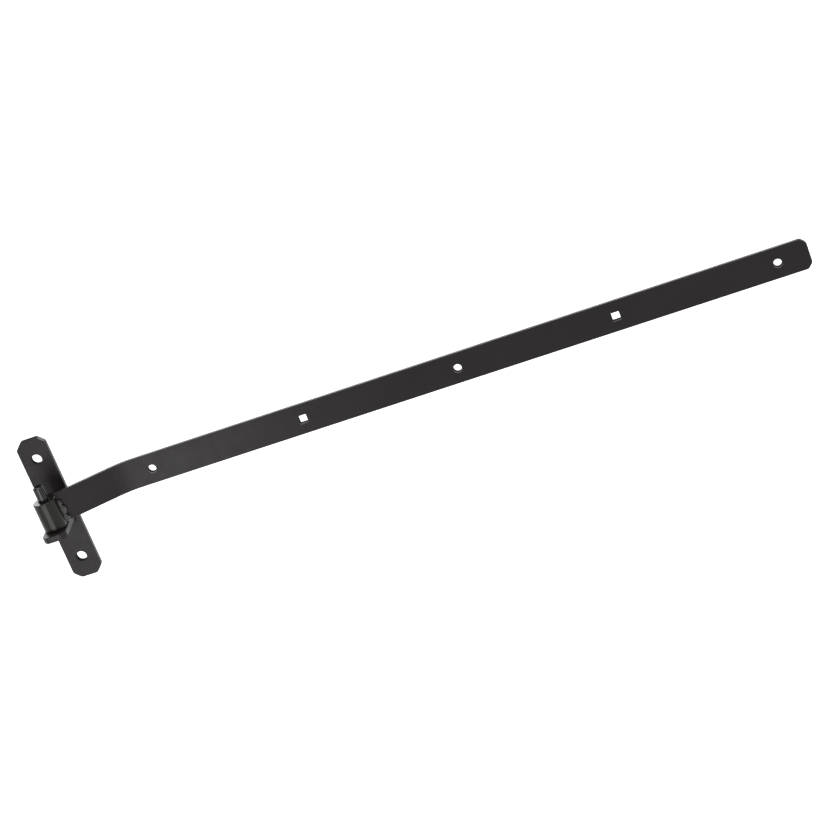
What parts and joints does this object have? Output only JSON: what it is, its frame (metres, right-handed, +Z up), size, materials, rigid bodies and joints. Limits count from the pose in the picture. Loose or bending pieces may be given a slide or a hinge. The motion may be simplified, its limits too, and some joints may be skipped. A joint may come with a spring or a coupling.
{
  "type": "hook and band hinge",
  "caption": "Cranked gate strap with fixing holes and a welded eye that swings on the upright pin of a bolted hook plate.",
  "frame": {"origin": "middle of the hook plate's back face, between its two bolt holes", "axes": "+Z up along the pin, +X from the eye along the closed strap, +Y into the post"},
  "size_m": [1.02, 0.074, 0.2],
  "materials": {
    "black_coat": "satin",
    "black_pin": "gloss",
    "black_weld": "satin"
  },
  "bodies": {
    "hook": {"hook_plate": "black_coat", "hook_lug": "black_coat", "hook_pin": "black_pin", "lug_weld_seat": "black_weld", "lug_weld_under": "black_weld", "pin_weld": "black_weld"},
    "band": {"band_strap": "black_coat", "band_eye": "black_coat", "eye_weld_front": "black_weld", "eye_weld_back": "black_weld"}
  },
  "joints": [
    {"name": "swing", "type": "hinge", "parent": "hook", "child": "band", "pos_m": [0, -0.048, 0.0113], "axis": [0, 0, -1], "range_deg": [0, 180]}
  ]
}
